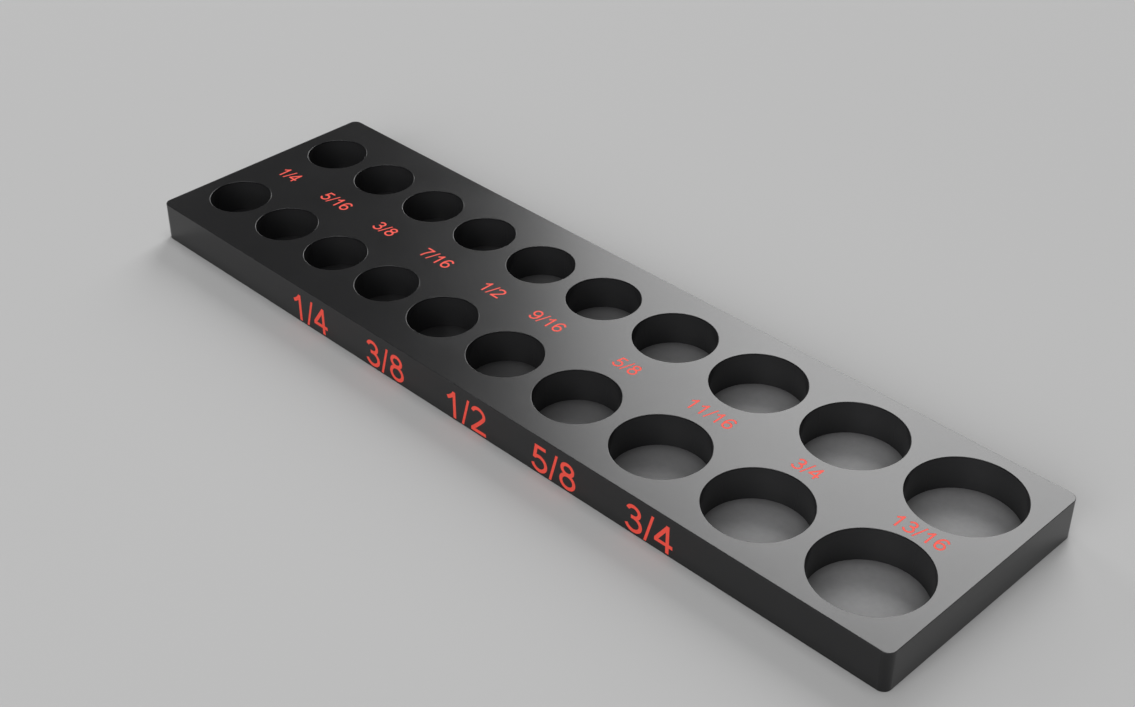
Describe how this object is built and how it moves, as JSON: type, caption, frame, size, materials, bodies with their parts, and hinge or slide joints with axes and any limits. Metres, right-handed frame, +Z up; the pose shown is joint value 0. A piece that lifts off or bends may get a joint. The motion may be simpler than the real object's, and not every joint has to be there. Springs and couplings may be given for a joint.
{
  "type": "socket organizer tray",
  "caption": "Flat slab tray with two rows of round blind pockets that widen from left to right, and coloured size numerals inlaid between the rows and along the front.",
  "frame": {"origin": "middle of the underside", "axes": "+X along the rows towards the large pockets, +Y from the front face with numerals to the back, +Z up out of the pockets"},
  "size_m": [0.2738, 0.076, 0.012],
  "materials": {
    "tray_plastic": "satin",
    "numeral_plastic": "matte"
  },
  "bodies": {
    "root": {"tray_block": "tray_plastic", "tray_floor": "tray_plastic", "size_label_1_4": "numeral_plastic", "size_label_5_16": "numeral_plastic", "size_label_3_8": "numeral_plastic", "size_label_7_16": "numeral_plastic", "size_label_1_2": "numeral_plastic", "size_label_9_16": "numeral_plastic", "size_label_5_8": "numeral_plastic", "size_label_11_16": "numeral_plastic", "size_label_3_4": "numeral_plastic", "size_label_13_16": "numeral_plastic", "front_label_1_4": "numeral_plastic", "front_label_3_8": "numeral_plastic", "front_label_1_2": "numeral_plastic", "front_label_5_8": "numeral_plastic", "front_label_3_4": "numeral_plastic"}
  },
  "joints": []
}
